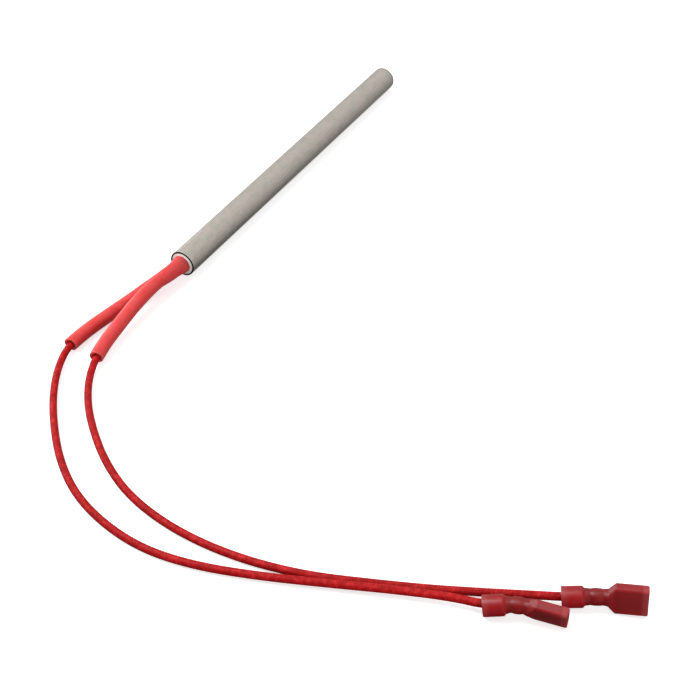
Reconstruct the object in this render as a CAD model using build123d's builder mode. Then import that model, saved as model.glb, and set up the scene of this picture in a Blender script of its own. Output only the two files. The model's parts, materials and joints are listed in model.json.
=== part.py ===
from build123d import *

import os
from dataclasses import dataclass
from math import cos, pi, radians, sin, sqrt, tan

# The cartridge igniter of a pellet stove as it lies on a flat surface: the heater in its sheath, two
# sleeved leads and a push-on connector on each lead. All sizes are in millimetres. The origin is the
# centre of the sheath's open end, +X runs along the sheath to its closed tip, and +Z points up.

# Clearances
slip = 0.03  # round a piece that is pushed or potted into another
loose = 0.05  # round a piece that another one closes over

# Sheath
sheath_diameter = 9.5
sheath_wall = 0.5
sheath_length = 150.0
tip_round = 0.7
tip_land = 0.1
plug_spigot = 2.0

# Heater inside the sheath
spacer_thickness = 2.2
magnesia_thickness = 0.6
coil_wire = 0.35
coil_turns = 28.5
coil_overrun = 0.015  # of the winding past the tail at each end, in turns
coil_margin = 4.0
tail_diameter = 0.3
pin_diameter = 1.4
short_pin_lap = 3.0
cap_thickness = 2.0

# Potted end of the sheath
seal_recess = 0.5
sleeve_depth = 5.5
bare_insulation = 1.5
stripped_gap = 1.5
splice_length = 10.0
splice_wall = 0.45
splice_lap = 4.0
seal_cover = 1.5
mouth_margin = 0.3
sleeve_gap = 0.1
stack_tilt = 40.0  # of the line through both leads, from straight up towards -Y, in degrees

# Leads and sleeves
lead_diameter = 2.4
conductor_diameter = 1.3
sleeve_wall = 1.0
sleeve_play = 0.15
sleeve_pinch = 0.03
blend_length = 13.0
blend_steps = 4
arc_share = 0.45  # of the shorter run, which each end of an arc takes

# Push-on connectors
tab_width = 6.3
tab_thickness = 0.8
tab_side_play = 0.25
rail_lift = 0.5
rail_sweep = 240.0  # of a rolled rail, in degrees
receptacle_stock = 0.4
receptacle_setback = 1.0
strip_root_width = 1.4
strip_width = 4.0
strip_drop = 0.4
barrel_wall = 0.85
barrel_play = 0.1
barrel_gap = 0.2
cavity_side_play = 0.15
housing_wall = 0.45
housing_length = 8.6
edge_round = 0.4
cavity_round = 0.1
shoulder_length = 1.9
neck_wall = 0.7
crimp_depth = 0.35
crimp_spread = 0.08
crimp_spacing = 3.5
crimp_from_funnel = 1.5
crimp_from_shoulder = 1.2
funnel_entry = 5.0
funnel_wall = 0.45
funnel_length = 6.0
funnel_taper = 0.8
insulation_depth = 7.3
conductor_rest = 0.5

# Sizes that follow from those above
sheath_radius = sheath_diameter / 2
bore_radius = sheath_radius - sheath_wall
plug_head = tip_round + tip_land
tube_length = sheath_length - plug_head
core_end = tube_length - plug_spigot - spacer_thickness

squeezed_height = bore_radius - mouth_margin - sleeve_gap / 2
seat_offset = (squeezed_height + sleeve_gap) / 2
seat_y = seat_offset * sin(radians(stack_tilt))
seat_z = seat_offset * cos(radians(stack_tilt))

lead_depth = sleeve_depth + bare_insulation
splice_start = lead_depth + stripped_gap
splice_end = splice_start + splice_length
conductor_root = splice_start + splice_lap
pin_start = splice_end - splice_lap
seal_end = splice_end + seal_cover
core_start = seal_end + cap_thickness

coil_start = core_start + coil_margin
coil_end = core_end - coil_margin
core_radius = bore_radius - 2 * slip - magnesia_thickness - coil_wire - loose
coil_radius = core_radius + loose / 2 + coil_wire / 2
fill_radius = core_radius + loose + coil_wire
pin_hole_radius = pin_diameter / 2 + loose

sleeve_bore = lead_diameter + 2 * sleeve_play
sleeve_diameter = sleeve_bore + 2 * sleeve_wall
squeezed_width = sqrt(2 * sleeve_diameter**2 - squeezed_height**2)
squeezed_bore_height = lead_diameter + 2 * sleeve_pinch
squeezed_bore_width = squeezed_width - 2 * sleeve_wall
conductor_bore = conductor_diameter + 2 * slip
splice_bore = max(conductor_diameter, pin_diameter) + 2 * slip
splice_diameter = splice_bore + 2 * splice_wall

barrel_bore = conductor_diameter + 2 * barrel_play
barrel_diameter = barrel_bore + 2 * barrel_wall
neck_bore = barrel_diameter + 2 * loose
neck_diameter = neck_bore + 2 * neck_wall
neck_length = crimp_from_funnel + crimp_spacing + crimp_from_shoulder
neck_end = funnel_length + neck_length
shoulder_end = neck_end + shoulder_length
mouth_depth = shoulder_end + housing_length
funnel_diameter = funnel_entry + 2 * funnel_wall
box_width = tab_width + 2 * (receptacle_stock + tab_side_play)
box_height = tab_thickness + 2 * receptacle_stock + rail_lift
cavity_width = box_width + 2 * cavity_side_play
cavity_height = box_height + 2 * loose
housing_width = cavity_width + 2 * housing_wall
housing_height = cavity_height + 2 * housing_wall


@dataclass
class Side:
    """One lead, with its seat in the sheath, its route and the pose of its connector's flat end."""

    name: str
    seat: float
    pin_end: float
    sleeve_reach: float
    heading: float
    pitch: float
    roll: float
    route: list


# Each route starts with the insulation's end in the sheath and ends with its end in the connector.
inner = Side(
    name="inner",
    seat=seat_offset,
    pin_end=coil_start + short_pin_lap,
    sleeve_reach=53.4,
    heading=-71.0,
    pitch=4.4,
    roll=80.8,
    route=[
        (lead_depth, -seat_y, seat_z),
        (-3.0, -seat_y, seat_z),
        (-14.1, 0.5, 1.5),
        (-25.6, 0.4, 0.8),
        (-37.4, -0.7, -0.2),
        (-49.1, -1.8, -1.4),
        (-60.0, -5.6, -2.4),
        (-70.2, -12.6, -3.1),
        (-79.5, -22.2, -3.4),
        (-88.1, -33.4, -3.5),
        (-94.9, -46.2, -3.5),
        (-98.8, -60.7, -3.5),
        (-100.1, -76.1, -3.5),
        (-98.9, -91.9, -3.5),
        (-95.4, -107.6, -3.5),
        (-89.7, -122.7, -3.5),
        (-83.8, -137.7, -3.4),
        (-77.8, -151.8, -2.9),
        (-72.8, -163.5, -2.3),
        (-69.5, -172.1, -1.5),
        (-67.3, -177.1, -0.7),
    ],
)
outer = Side(
    name="outer",
    seat=-seat_offset,
    pin_end=coil_end + short_pin_lap,
    sleeve_reach=52.1,
    heading=-80.5,
    pitch=0.0,
    roll=110.6,
    route=[
        (lead_depth, seat_y, -seat_z),
        (-3.0, seat_y, -seat_z),
        (-12.9, 3.8, -1.9),
        (-22.9, 5.2, -2.1),
        (-32.9, 6.9, -2.2),
        (-43.0, 8.5, -2.2),
        (-53.2, 8.8, -2.3),
        (-63.6, 4.7, -2.8),
        (-73.9, -2.0, -3.1),
        (-84.1, -10.7, -3.4),
        (-93.9, -20.8, -3.5),
        (-102.2, -32.8, -3.5),
        (-107.5, -46.9, -3.5),
        (-109.8, -62.5, -3.5),
        (-107.8, -78.5, -3.3),
        (-102.8, -95.1, -3.0),
        (-96.4, -112.1, -2.7),
        (-89.7, -129.2, -2.3),
        (-84.3, -144.6, -1.9),
        (-82.4, -155.1, -1.35),
        (-80.1, -160.0, -0.45),
    ],
)
sides = (inner, outer)

# Section across the sheath: its Y runs through both seats, up to the inner lead's.
section = Plane(
    origin=(0, 0, 0),
    x_dir=(0, cos(radians(stack_tilt)), sin(radians(stack_tilt))),
    z_dir=(1, 0, 0),
)
seats = [(0, side.seat) for side in sides]


class ConnectorAxis:
    """Axis of a connector: straight through the funnel, bent through the neck, then straight again.

    Depths are measured along it from the funnel's mouth.
    """

    def __init__(self, side):
        end = Vector(side.route[-1])
        self.funnel = (end - Vector(side.route[-2])).normalized()
        self.entry = end - self.funnel * insulation_depth
        heading, pitch, roll = radians(side.heading), radians(side.pitch), radians(side.roll)
        self.flat = Vector(cos(pitch) * cos(heading), cos(pitch) * sin(heading), sin(pitch))
        level = Vector(0, 0, 1).cross(self.flat).normalized()
        self.wide = level * cos(roll) + self.flat.cross(level) * sin(roll)
        self.turn = radians(self.funnel.get_angle(self.flat))
        self.aside = (self.flat - self.funnel * cos(self.turn)).normalized()

    def point(self, depth):
        """Point of the axis at a depth."""
        if depth <= funnel_length:
            return self.entry + self.funnel * depth
        bend_radius = neck_length / self.turn
        turned = min(depth - funnel_length, neck_length) / bend_radius
        along = self.funnel * sin(turned) + self.aside * (1 - cos(turned))
        start = self.entry + self.funnel * funnel_length
        return start + along * bend_radius + self.flat * max(depth - neck_end, 0)

    def direction(self, depth):
        """Direction of the axis at a depth."""
        turned = self.turn * min(max(depth - funnel_length, 0) / neck_length, 1)
        return self.funnel * cos(turned) + self.aside * sin(turned)

    def plane(self, depth):
        """Plane across the axis at a depth, with its X along the connector's width."""
        return Plane(self.point(depth), x_dir=self.wide, z_dir=self.direction(depth))


def bend_radii(route):
    """Radius of the arc at each inner point of a route, as large as the two runs beside it allow."""
    radii = []
    for before, corner, after in zip(route, route[1:], route[2:]):
        arriving = Vector(corner) - Vector(before)
        leaving = Vector(after) - Vector(corner)
        half_turn = radians(arriving.get_angle(leaving) / 2)
        radii.append(arc_share * min(arriving.length, leaving.length) / tan(half_turn))
    return radii


def lead_path(route):
    """Straight runs joined by tangent arcs along a route."""
    with BuildLine() as path:
        FilletPolyline(*route, radius=bend_radii(route))
    return path.wires()[0]


def across(path, share):
    """Plane across a path at a share of its length, with its X along the section's X."""
    return Plane(path @ share, x_dir=section.x_dir, z_dir=path % share)


def make_lead(side):
    """Insulation of a lead, hollow for its conductor."""
    path = lead_path(side.route)
    with BuildPart() as lead:
        with BuildSketch(across(path, 0)):
            Circle(lead_diameter / 2)
            Circle(conductor_bore / 2, mode=Mode.SUBTRACT)
        sweep(path=path)
    radii = bend_radii(side.route)
    expected = pi / 4 * (lead_diameter**2 - conductor_bore**2) * path.length
    print(side.name, "lead", round(path.length, 1), "mm, radii", [round(radius) for radius in radii])
    print(side.name, "lead volume", round(lead.part.volume, 1), "section x length", round(expected, 1))
    return lead.part


def make_conductor(side):
    """Stranded wire from the splice, through the insulation, into the connector's barrel."""
    axis = ConnectorAxis(side)
    insulation_end = side.route[-1]
    with BuildLine() as core_line:
        Line((conductor_root, *side.route[0][1:]), side.route[0])
        FilletPolyline(*side.route, radius=bend_radii(side.route))
        TangentArc(insulation_end, axis.point(neck_end - conductor_rest), tangent=axis.funnel)
    path = core_line.wires()[0]
    with BuildPart() as conductor:
        with BuildSketch(section.offset(conductor_root)):
            with Locations((0, side.seat)):
                Circle(conductor_diameter / 2)
        sweep(path=path)
    return conductor.part


def make_sleeve(side):
    """Silicone sleeve, squeezed to an oval in the sheath and round further out."""
    path = lead_path(side.route)
    inner_end, mouth, round_from, outer_end = (
        arc / path.length
        for arc in (
            bare_insulation,
            lead_depth,
            lead_depth + blend_length,
            lead_depth + side.sleeve_reach,
        )
    )
    stations = [(inner_end, 0.0)]
    for step in range(blend_steps + 1):
        share = step / blend_steps
        stations.append((mouth + (round_from - mouth) * share, share**2))
    skins = (
        (Mode.ADD, squeezed_width, squeezed_height, sleeve_diameter),
        (Mode.SUBTRACT, squeezed_bore_width, squeezed_bore_height, sleeve_bore),
    )
    with BuildPart() as sleeve:
        for mode, oval_width, oval_height, round_width in skins:
            for place, roundness in stations:
                width = oval_width + (round_width - oval_width) * roundness
                height = oval_height + (round_width - oval_height) * roundness
                with BuildSketch(across(path, place)):
                    Ellipse(width / 2, height / 2)
            loft(mode=mode)
            with BuildSketch(across(path, round_from)):
                Circle(round_width / 2)
            sweep(path=path.trim(round_from, outer_end), mode=mode)
    return sleeve.part


def make_splice(side):
    """Crimp tube over the end of the conductor and of the terminal pin."""
    with BuildPart() as splice:
        with BuildSketch(section.offset(splice_start)):
            with Locations((0, side.seat)):
                Circle(splice_diameter / 2)
                Circle(splice_bore / 2, mode=Mode.SUBTRACT)
        extrude(amount=splice_length)
    return splice.part


def make_terminal_pin(side):
    """Solid pin from the splice into the core."""
    with BuildPart() as pin:
        with BuildSketch(section.offset(pin_start)):
            with Locations((0, side.seat)):
                Circle(pin_diameter / 2)
        extrude(amount=side.pin_end - pin_start)
    return pin.part


def make_housing(side):
    """Nylon cover: funnel for the insulation, crimped neck, shoulder and flat end with a slot mouth."""
    axis = ConnectorAxis(side)
    first_crimp = funnel_length + crimp_from_funnel
    second_crimp = first_crimp + crimp_spacing
    neck_stations = (
        (funnel_length, 0),
        (first_crimp, crimp_depth),
        ((first_crimp + second_crimp) / 2, 0),
        (second_crimp, crimp_depth),
        (neck_end, 0),
    )
    with BuildLine() as bend:
        TangentArc(axis.point(funnel_length), axis.point(neck_end), tangent=axis.funnel)
    with BuildPart() as housing:
        with BuildSketch(axis.plane(0)):
            Circle(funnel_diameter / 2)
        extrude(amount=funnel_length - funnel_taper)
        with BuildSketch(axis.plane(funnel_length - funnel_taper)):
            Circle(funnel_diameter / 2)
        with BuildSketch(axis.plane(funnel_length)):
            Circle(neck_diameter / 2)
        loft()
        for depth, dent in neck_stations:
            with BuildSketch(axis.plane(depth)):
                Ellipse(neck_diameter / 2 - min(dent, crimp_spread), neck_diameter / 2 - dent)
        loft()
        with BuildSketch(axis.plane(neck_end)):
            RectangleRounded(neck_diameter + 2 * slip, neck_diameter + 2 * slip, neck_diameter / 2)
        with BuildSketch(axis.plane(shoulder_end)):
            RectangleRounded(housing_width, housing_height, edge_round)
        loft()
        with BuildSketch(axis.plane(shoulder_end)):
            RectangleRounded(housing_width, housing_height, edge_round)
        extrude(amount=housing_length)

        with BuildSketch(axis.plane(0)):
            Circle(funnel_entry / 2)
        with BuildSketch(axis.plane(funnel_length)):
            Circle(neck_bore / 2)
        loft(mode=Mode.SUBTRACT)
        with BuildSketch(axis.plane(funnel_length)):
            Circle(neck_bore / 2)
        sweep(path=bend.line, mode=Mode.SUBTRACT)
        with BuildSketch(axis.plane(neck_end)):
            RectangleRounded(neck_bore + 2 * slip, neck_bore + 2 * slip, neck_bore / 2)
        with BuildSketch(axis.plane(shoulder_end)):
            RectangleRounded(cavity_width, cavity_height, cavity_round)
        loft(mode=Mode.SUBTRACT)
        with BuildSketch(axis.plane(shoulder_end)):
            RectangleRounded(cavity_width, cavity_height, cavity_round)
        extrude(amount=housing_length, mode=Mode.SUBTRACT)
    return housing.part


def make_receptacle(side):
    """Rolled metal receptacle: crimp barrel, strip and a box whose two rails grip the tab."""
    axis = ConnectorAxis(side)
    barrel_start = insulation_depth + barrel_gap
    strip_root = neck_end - conductor_rest
    floor_height = (box_height - receptacle_stock) / 2
    rail_radius = floor_height
    rail_place = box_width / 2 - receptacle_stock / 2 - rail_radius
    with BuildLine() as bend:
        TangentArc(axis.point(barrel_start), axis.point(neck_end), tangent=axis.direction(barrel_start))
    with BuildPart() as receptacle:
        with BuildSketch(axis.plane(barrel_start)):
            Circle(barrel_diameter / 2)
            Circle(barrel_bore / 2, mode=Mode.SUBTRACT)
        sweep(path=bend.line)
        with BuildSketch(axis.plane(strip_root)):
            with Locations((0, -barrel_diameter / 2 + strip_drop)):
                Rectangle(strip_root_width, receptacle_stock)
        with BuildSketch(axis.plane(shoulder_end)):
            with Locations((0, -floor_height)):
                Rectangle(strip_width, receptacle_stock)
        loft()
        with BuildSketch(axis.plane(shoulder_end)):
            with BuildLine() as fold:
                Line((-rail_place, -floor_height), (rail_place, -floor_height))
                CenterArc((rail_place, 0), rail_radius, -90, rail_sweep)
                CenterArc((-rail_place, 0), rail_radius, -90, -rail_sweep)
            trace(line_width=receptacle_stock)
        extrude(amount=housing_length - receptacle_setback)
    return receptacle.part


# Sheath: a plain tube, closed at its tip by a welded plug whose rim is rounded
with BuildPart() as sheath_tube:
    with BuildSketch(section):
        Circle(sheath_radius)
        Circle(bore_radius, mode=Mode.SUBTRACT)
    extrude(amount=tube_length)

with BuildPart() as tip_plug:
    with BuildSketch(section.offset(tube_length)):
        Circle(sheath_radius)
    extrude(amount=plug_head)
    fillet(tip_plug.faces().sort_by(Axis.X)[-1].edges(), tip_round)
    with BuildSketch(section.offset(tube_length)):
        Circle(bore_radius - slip)
    extrude(amount=-plug_spigot)

# Heater: discs at both ends, the core with a bore for each pin, the coil and the packed magnesia
with BuildPart() as tip_spacer:
    with BuildSketch(section.offset(core_end)):
        Circle(bore_radius - slip)
    extrude(amount=spacer_thickness)

with BuildPart() as lead_end_cap:
    with BuildSketch(section.offset(seal_end)):
        Circle(bore_radius - slip)
        with Locations(*seats):
            Circle(pin_hole_radius, mode=Mode.SUBTRACT)
    extrude(amount=cap_thickness)

# The coil's tails pass through a small hole in the core, down to the short pin and to the long pin.
coil_tails = (
    Plane(origin=(coil_start, 0, 0), z_dir=section.y_dir),
    Plane(origin=(coil_end, 0, 0), z_dir=-section.y_dir),
)
pin_face = seat_offset + pin_diameter / 2

with BuildPart() as ceramic_core:
    with BuildSketch(section.offset(core_start)):
        Circle(core_radius)
        with Locations(*seats):
            Circle(pin_hole_radius, mode=Mode.SUBTRACT)
    extrude(amount=core_end - core_start)
    for tail in coil_tails:
        with BuildSketch(tail.offset(pin_face)):
            Circle(coil_wire / 2 + slip)
        extrude(amount=core_radius, mode=Mode.SUBTRACT)

coil_pitch = (coil_end - coil_start) / coil_turns
with BuildLine() as winding:
    Helix(
        pitch=coil_pitch,
        height=coil_pitch * (coil_turns + 2 * coil_overrun),
        radius=coil_radius,
        center=(coil_start - coil_pitch * coil_overrun, 0, 0),
        direction=(1, 0, 0),
    )
coil_path = winding.edges()[0].rotate(Axis.X, stack_tilt - 360 * coil_overrun)

with BuildPart() as heating_coil:
    with BuildSketch(Plane(coil_path @ 0, z_dir=coil_path % 0)):
        Circle(coil_wire / 2)
    sweep(path=coil_path, is_frenet=True)
    for tail in coil_tails:
        with BuildSketch(tail.offset(pin_face + slip)):
            Circle(tail_diameter / 2)
        extrude(amount=coil_radius - pin_face - slip)

with BuildPart() as magnesia_fill:
    with BuildSketch(section.offset(core_start)):
        Circle(bore_radius - slip)
        Circle(fill_radius, mode=Mode.SUBTRACT)
    extrude(amount=core_end - core_start)

# Cement round the sleeves, leads, splices and pins: each stretch has the outline of what it holds
with BuildPart() as end_seal:
    with BuildSketch(section.offset(seal_recess)):
        Circle(bore_radius - slip)
    extrude(amount=seal_end - seal_recess)
    for start, end, width, height in (
        (seal_recess, sleeve_depth, squeezed_width, squeezed_height),
        (sleeve_depth, lead_depth, lead_diameter, lead_diameter),
        (lead_depth, splice_start, conductor_diameter, conductor_diameter),
        (splice_start, splice_end, splice_diameter, splice_diameter),
        (splice_end, seal_end, pin_diameter, pin_diameter),
    ):
        with BuildSketch(section.offset(start)):
            with Locations(*seats):
                Ellipse(width / 2 + slip, height / 2 + slip)
        extrude(amount=end - start, mode=Mode.SUBTRACT)

pieces = {
    "sheath_tube": sheath_tube.part,
    "tip_plug": tip_plug.part,
    "tip_spacer": tip_spacer.part,
    "lead_end_cap": lead_end_cap.part,
    "ceramic_core": ceramic_core.part,
    "heating_coil": heating_coil.part,
    "magnesia_fill": magnesia_fill.part,
    "end_seal": end_seal.part,
}
for side in sides:
    pieces[f"{side.name}_lead"] = make_lead(side)
    pieces[f"{side.name}_conductor"] = make_conductor(side)
    pieces[f"{side.name}_sleeve"] = make_sleeve(side)
    pieces[f"{side.name}_splice"] = make_splice(side)
    pieces[f"{side.name}_terminal_pin"] = make_terminal_pin(side)
    pieces[f"{side.name}_housing"] = make_housing(side)
    pieces[f"{side.name}_receptacle"] = make_receptacle(side)

os.makedirs("parts", exist_ok=True)
for name, piece in pieces.items():
    piece.label = name
    export_step(piece, f"parts/{name}.step")
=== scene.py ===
"""Looks of a pellet stove's cartridge igniter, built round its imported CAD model.

The heater's sheath lies along +X with its open end at the origin. Two silicone sleeves and two braided
leads come out of that end, and each lead has an insulated push-on connector. The igniter's sizes are in
millimetres, and become metres where a mesh, a curve or a node is made.
"""

import json
import logging
from abc import ABC, abstractmethod
from bisect import bisect_right
from dataclasses import dataclass
from enum import Enum
from functools import lru_cache
from math import ceil, cos, exp, floor, pi, radians, sin, sqrt, tau
from typing import Callable, Iterable, NamedTuple, Sequence

import bmesh
import bpy
from mathutils import Matrix, Vector
from mathutils.noise import noise as solid_noise

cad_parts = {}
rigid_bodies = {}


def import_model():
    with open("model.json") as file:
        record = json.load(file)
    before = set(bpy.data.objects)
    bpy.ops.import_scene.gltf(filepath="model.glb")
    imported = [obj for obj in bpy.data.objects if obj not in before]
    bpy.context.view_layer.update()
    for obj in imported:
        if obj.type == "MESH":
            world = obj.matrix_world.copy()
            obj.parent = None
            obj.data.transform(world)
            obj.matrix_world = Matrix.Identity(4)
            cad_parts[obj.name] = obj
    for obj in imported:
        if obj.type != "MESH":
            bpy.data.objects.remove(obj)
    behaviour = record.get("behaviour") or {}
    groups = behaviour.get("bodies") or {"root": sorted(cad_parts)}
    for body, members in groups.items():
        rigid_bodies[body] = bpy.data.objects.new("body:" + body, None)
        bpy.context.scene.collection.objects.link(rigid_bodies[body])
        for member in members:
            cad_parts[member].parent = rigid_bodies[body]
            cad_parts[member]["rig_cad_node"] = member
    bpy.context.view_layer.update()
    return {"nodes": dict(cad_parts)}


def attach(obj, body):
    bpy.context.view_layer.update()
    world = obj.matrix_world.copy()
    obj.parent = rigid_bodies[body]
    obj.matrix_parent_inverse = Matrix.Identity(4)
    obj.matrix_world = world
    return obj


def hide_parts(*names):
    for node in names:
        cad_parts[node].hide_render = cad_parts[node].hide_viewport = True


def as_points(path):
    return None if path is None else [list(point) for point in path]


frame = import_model()

log = logging.getLogger("igniter")

Pair = tuple[float, float]
Triple = tuple[float, float, float]
Socket = bpy.types.NodeSocket
Number = Socket | float
Tone = Socket | Triple

MM = 0.001
ROOT = "root"
WELD = 1e-8
SHEATH_RADIUS = 4.75
LEAD_WIDTH = 2.4
COVER_LENGTH = 22.7
FULL: Pair = (0, 1)
SOFT: Pair = (0.3, 0.7)


# Nodes of materials and light


class Place(Enum):
    """Where a finish takes the place of its pattern from."""

    SOLID = "Object"
    SKIN = "UV"


@dataclass(frozen=True)
class Grain:
    """One kind of noise.

    The size is that of its largest blots in millimetres. Octaves says how much finer noise lies on them,
    rough how strong that is, and warp how far the blots are pulled out of shape.
    """

    size: float
    octaves: float = 3
    rough: float = 0.55
    warp: float = 0


class NodeSet:
    """The nodes of a material or a sky, with a method for each kind that is used."""

    def __init__(self, tree: bpy.types.NodeTree) -> None:
        """Takes the tree that the nodes go into."""
        self.tree = tree

    def node(self, kind: str, **settings: str) -> bpy.types.Node:
        """Adds a node.

        Args:
            kind: the node's type without its ShaderNode prefix.
            settings: the node's properties.

        Returns:
            The node.
        """
        made = self.tree.nodes.new("ShaderNode" + kind)
        for key, value in settings.items():
            setattr(made, key, value)
        return made

    def feed(self, socket: Socket, value: Number | Tone) -> None:
        """Links an output to a socket, or sets the socket to a plain value.

        Args:
            socket: the input.
            value: an output, a number, a vector, or a colour without its alpha.
        """
        if isinstance(value, Socket):
            self.tree.links.new(value, socket)
        elif socket.type == "RGBA":
            socket.default_value = (*value, 1)
        else:
            socket.default_value = value

    def parts(self, where: Socket) -> Sequence[Socket]:
        """Splits a place into its three coordinates.

        Args:
            where: the place.

        Returns:
            X, Y and Z.
        """
        split = self.node("SeparateXYZ")
        self.feed(split.inputs[0], where)
        return split.outputs

    def noise(self, where: Socket, grain: Grain) -> Socket:
        """Soft noise from 0 to 1.

        Args:
            where: pattern coordinates in metres.
            grain: kind of noise.

        Returns:
            The noise.
        """
        made = self.node("TexNoise")
        values = (where, 1 / (grain.size * MM), grain.octaves, grain.rough, grain.warp)
        for name, value in zip(("Vector", "Scale", "Detail", "Roughness", "Distortion"), values):
            self.feed(made.inputs[name], value)
        return made.outputs[0]

    def ramp(self, value: Socket, *stops: tuple[float, Triple]) -> Socket:
        """Colour by a value.

        Args:
            value: a value from 0 to 1.
            stops: values in rising order, each with its colour.

        Returns:
            The colour.
        """
        made = self.node("ValToRGB")
        self.feed(made.inputs[0], value)
        elements = made.color_ramp.elements
        while len(elements) < len(stops):
            elements.new(0.5)
        for element, (at, tone) in zip(elements, stops):
            element.position = at
            element.color = (*tone, 1)
        return made.outputs[0]

    def span(self, value: Socket, ends: Pair, to: Pair = FULL) -> Socket:
        """Stretches one range of a value to another one, and keeps it inside that.

        Args:
            value: the value.
            ends: its range.
            to: the range that it gets.

        Returns:
            The new value.
        """
        made = self.node("MapRange")
        names = ("Value", "From Min", "From Max", "To Min", "To Max")
        for name, number in zip(names, (value, *ends, *to)):
            self.feed(made.inputs[name], number)
        return made.outputs[0]

    def fade(self, place: Socket, ends: Pair, to: Pair = FULL) -> Socket:
        """Stretches a range of a coordinate as span does, with the range given in millimetres."""
        return self.span(place, (ends[0] * MM, ends[1] * MM), to)

    def math(self, kind: str, *values: Number) -> Socket:
        """Adds one Math node.

        Args:
            kind: its operation.
            values: what goes into it.

        Returns:
            Its result.
        """
        made = self.node("Math", operation=kind)
        for socket, value in zip(made.inputs, values):
            self.feed(socket, value)
        return made.outputs[0]

    def add(self, first: Number, second: Number, share: Number = 1.0) -> Socket:
        """One value, and a share of another one on it."""
        return self.math("MULTIPLY_ADD", second, share, first)

    def away(self, value: Socket, middle: float = 0.0) -> Socket:
        """How far a value is from a middle, to either side."""
        return self.math("ABSOLUTE", self.math("SUBTRACT", value, middle))

    def either(self, share: Socket, first: Socket, second: Socket) -> Socket:
        """Goes from one value to another.

        Args:
            share: 0 for the first value and 1 for the second one.
            first: a value.
            second: another value.

        Returns:
            The value between them.
        """
        made = self.node("Mix")
        for index, value in ((0, share), (2, first), (3, second)):
            self.feed(made.inputs[index], value)
        return made.outputs[0]

    def mix(self, share: Number, first: Tone, second: Tone, blend: str = "MIX") -> Socket:
        """Lays a share of one colour over another.

        Args:
            share: how much of the second colour shows.
            first: the colour below.
            second: the colour above.
            blend: how it is laid on.

        Returns:
            The colour.
        """
        made = self.node("Mix", data_type="RGBA", blend_type=blend)
        for index, value in ((0, share), (6, first), (7, second)):
            self.feed(made.inputs[index], value)
        return made.outputs[2]

    def dot(self, way: Socket, other: Triple) -> Socket:
        """How far a direction agrees with another one.

        Args:
            way: a direction.
            other: the direction that it is held against.

        Returns:
            Their dot product.
        """
        made = self.node("VectorMath", operation="DOT_PRODUCT")
        self.feed(made.inputs[0], way)
        self.feed(made.inputs[1], other)
        return made.outputs["Value"]


class Shading(NodeSet):
    """The nodes of one material, round its shader."""

    def __init__(self, name: str, **constants: float | Triple) -> None:
        """Starts a material.

        Args:
            name: name of the material.
            constants: values that are the same all over, named as for set.
        """
        self.material = bpy.data.materials.new(name)
        self.material.use_nodes = True
        super().__init__(self.material.node_tree)
        self.shader = next(node for node in self.tree.nodes if node.type == "BSDF_PRINCIPLED")
        self.set(**constants)

    def set(self, **values: Number | Tone) -> None:
        """Feeds the shader's sockets, by socket name with _ for each space."""
        for name, value in values.items():
            self.feed(self.shader.inputs[name.replace("_", " ")], value)

    def place(self, source: Place, scale: Triple = (1, 1, 1), turn: Triple = (0, 0, 0)) -> Socket:
        """Gives the coordinates that a pattern follows.

        Args:
            source: what they are taken from.
            scale: factor on each.
            turn: angle round each axis in radians.

        Returns:
            The coordinates.
        """
        mapping = self.node("Mapping")
        self.feed(mapping.inputs["Vector"], self.node("TexCoord").outputs[source.value])
        self.feed(mapping.inputs["Scale"], scale)
        self.feed(mapping.inputs["Rotation"], turn)
        return mapping.outputs["Vector"]

    def bump(self, height: Socket, depth: float) -> None:
        """Gives the surface a relief.

        Args:
            height: relief, where 1 is as high as the depth says.
            depth: depth in millimetres.
        """
        made = self.node("Bump")
        self.feed(made.inputs["Distance"], depth * MM)
        self.feed(made.inputs["Height"], height)
        self.set(Normal=made.outputs[0])


# Finishes


@dataclass(frozen=True)
class Finish(ABC):
    """A finish, with the name of its material and the record's slot that it stands for."""

    name: str
    slot: str

    @abstractmethod
    def material(self) -> bpy.types.Material:
        """Makes the material."""


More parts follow.
